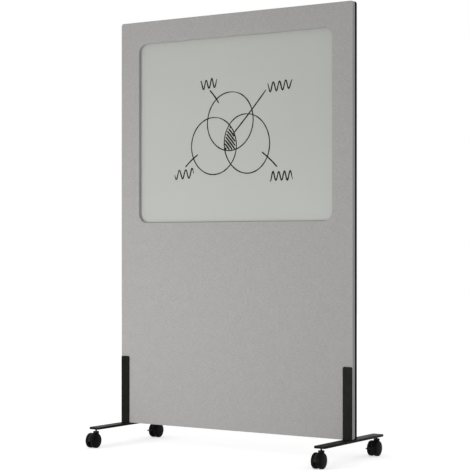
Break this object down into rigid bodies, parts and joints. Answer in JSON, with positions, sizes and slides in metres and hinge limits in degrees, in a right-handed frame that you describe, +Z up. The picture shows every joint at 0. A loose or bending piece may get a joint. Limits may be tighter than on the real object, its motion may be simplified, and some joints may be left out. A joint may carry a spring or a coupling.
{
  "type": "rolling whiteboard",
  "caption": "Upright felt-covered screen with a writing sheet in a rounded window, on flat steel feet with swivelling twin-wheel casters and rear brakes.",
  "frame": {"origin": "on the floor, at the middle of the footprint with every caster trailing towards -Y", "axes": "+Z up, +X along the panel's width, the writing side faces -Y"},
  "size_m": [1.2, 0.525, 1.89],
  "materials": {
    "absorber": "fibre filling",
    "black_steel": "fine-textured powder coat",
    "board": "raw board",
    "enamel": "semi-gloss enamel",
    "fastener": "black zinc",
    "felt": "wool-like felt, matt",
    "frame": "black painted edge",
    "housing_plastic": "moulded nylon, satin",
    "lever_plastic": "moulded nylon, satin",
    "pin_steel": "plain steel",
    "stem_steel": "black zinc",
    "wheel_plastic": "moulded nylon, satin"
  },
  "bodies": {
    "screen": {"back_pad": "felt", "backing_board": "board", "bottom_rail": "frame", "cross_rail": "frame", "front_left_stem": "stem_steel", "front_pad": "felt", "front_right_stem": "stem_steel", "left_base_bar": "black_steel", "left_front_strap": "black_steel", "left_rear_strap": "black_steel", "left_stile": "frame", "left_strap_screws": "fastener", "rear_left_stem": "stem_steel", "rear_right_stem": "stem_steel", "right_base_bar": "black_steel", "right_front_strap": "black_steel", "right_rear_strap": "black_steel", "right_stile": "frame", "right_strap_screws": "fastener", "sound_absorber": "absorber", "top_rail": "frame", "writing_sheet": "enamel"},
    "front_left_caster": {"front_left_housing": "housing_plastic", "front_left_axle": "pin_steel"},
    "front_left_wheel_a": {"front_left_wheel_a": "wheel_plastic"},
    "front_left_wheel_b": {"front_left_wheel_b": "wheel_plastic"},
    "front_right_caster": {"front_right_housing": "housing_plastic", "front_right_axle": "pin_steel"},
    "front_right_wheel_a": {"front_right_wheel_a": "wheel_plastic"},
    "front_right_wheel_b": {"front_right_wheel_b": "wheel_plastic"},
    "rear_left_caster": {"rear_left_housing": "housing_plastic", "rear_left_axle": "pin_steel", "rear_left_brake_pin": "pin_steel"},
    "rear_left_wheel_a": {"rear_left_wheel_a": "wheel_plastic"},
    "rear_left_wheel_b": {"rear_left_wheel_b": "wheel_plastic"},
    "rear_left_brake": {"rear_left_brake_lever": "lever_plastic"},
    "rear_right_caster": {"rear_right_housing": "housing_plastic", "rear_right_axle": "pin_steel", "rear_right_brake_pin": "pin_steel"},
    "rear_right_wheel_a": {"rear_right_wheel_a": "wheel_plastic"},
    "rear_right_wheel_b": {"rear_right_wheel_b": "wheel_plastic"},
    "rear_right_brake": {"rear_right_brake_lever": "lever_plastic"}
  },
  "joints": [
    {"name": "front_left_swivel", "type": "hinge", "parent": "screen", "child": "front_left_caster", "pos_m": [-0.575, -0.2115, 0.0715], "axis": [0, 0, 1], "continuous": true},
    {"name": "front_left_wheel_a_spin", "type": "hinge", "parent": "front_left_caster", "child": "front_left_wheel_a", "pos_m": [-0.575, -0.2295, 0.0325], "axis": [1, 0, 0], "continuous": true},
    {"name": "front_left_wheel_b_spin", "type": "hinge", "parent": "front_left_caster", "child": "front_left_wheel_b", "pos_m": [-0.575, -0.2295, 0.0325], "axis": [1, 0, 0], "continuous": true},
    {"name": "front_right_swivel", "type": "hinge", "parent": "screen", "child": "front_right_caster", "pos_m": [0.575, -0.2115, 0.0715], "axis": [0, 0, 1], "continuous": true},
    {"name": "front_right_wheel_a_spin", "type": "hinge", "parent": "front_right_caster", "child": "front_right_wheel_a", "pos_m": [0.575, -0.2295, 0.0325], "axis": [1, 0, 0], "continuous": true},
    {"name": "front_right_wheel_b_spin", "type": "hinge", "parent": "front_right_caster", "child": "front_right_wheel_b", "pos_m": [0.575, -0.2295, 0.0325], "axis": [1, 0, 0], "continuous": true},
    {"name": "rear_left_swivel", "type": "hinge", "parent": "screen", "child": "rear_left_caster", "pos_m": [-0.575, 0.2465, 0.0715], "axis": [0, 0, 1], "continuous": true},
    {"name": "rear_left_wheel_a_spin", "type": "hinge", "parent": "rear_left_caster", "child": "rear_left_wheel_a", "pos_m": [-0.575, 0.2285, 0.0325], "axis": [1, 0, 0], "continuous": true},
    {"name": "rear_left_wheel_b_spin", "type": "hinge", "parent": "rear_left_caster", "child": "rear_left_wheel_b", "pos_m": [-0.575, 0.2285, 0.0325], "axis": [1, 0, 0], "continuous": true},
    {"name": "rear_left_brake_press", "type": "hinge", "parent": "rear_left_caster", "child": "rear_left_brake", "pos_m": [-0.575, 0.2085, 0.0465], "axis": [1, 0, 0], "range_deg": [0, 11]},
    {"name": "rear_right_swivel", "type": "hinge", "parent": "screen", "child": "rear_right_caster", "pos_m": [0.575, 0.2465, 0.0715], "axis": [0, 0, 1], "continuous": true},
    {"name": "rear_right_wheel_a_spin", "type": "hinge", "parent": "rear_right_caster", "child": "rear_right_wheel_a", "pos_m": [0.575, 0.2285, 0.0325], "axis": [1, 0, 0], "continuous": true},
    {"name": "rear_right_wheel_b_spin", "type": "hinge", "parent": "rear_right_caster", "child": "rear_right_wheel_b", "pos_m": [0.575, 0.2285, 0.0325], "axis": [1, 0, 0], "continuous": true},
    {"name": "rear_right_brake_press", "type": "hinge", "parent": "rear_right_caster", "child": "rear_right_brake", "pos_m": [0.575, 0.2085, 0.0465], "axis": [1, 0, 0], "range_deg": [0, 11]}
  ]
}
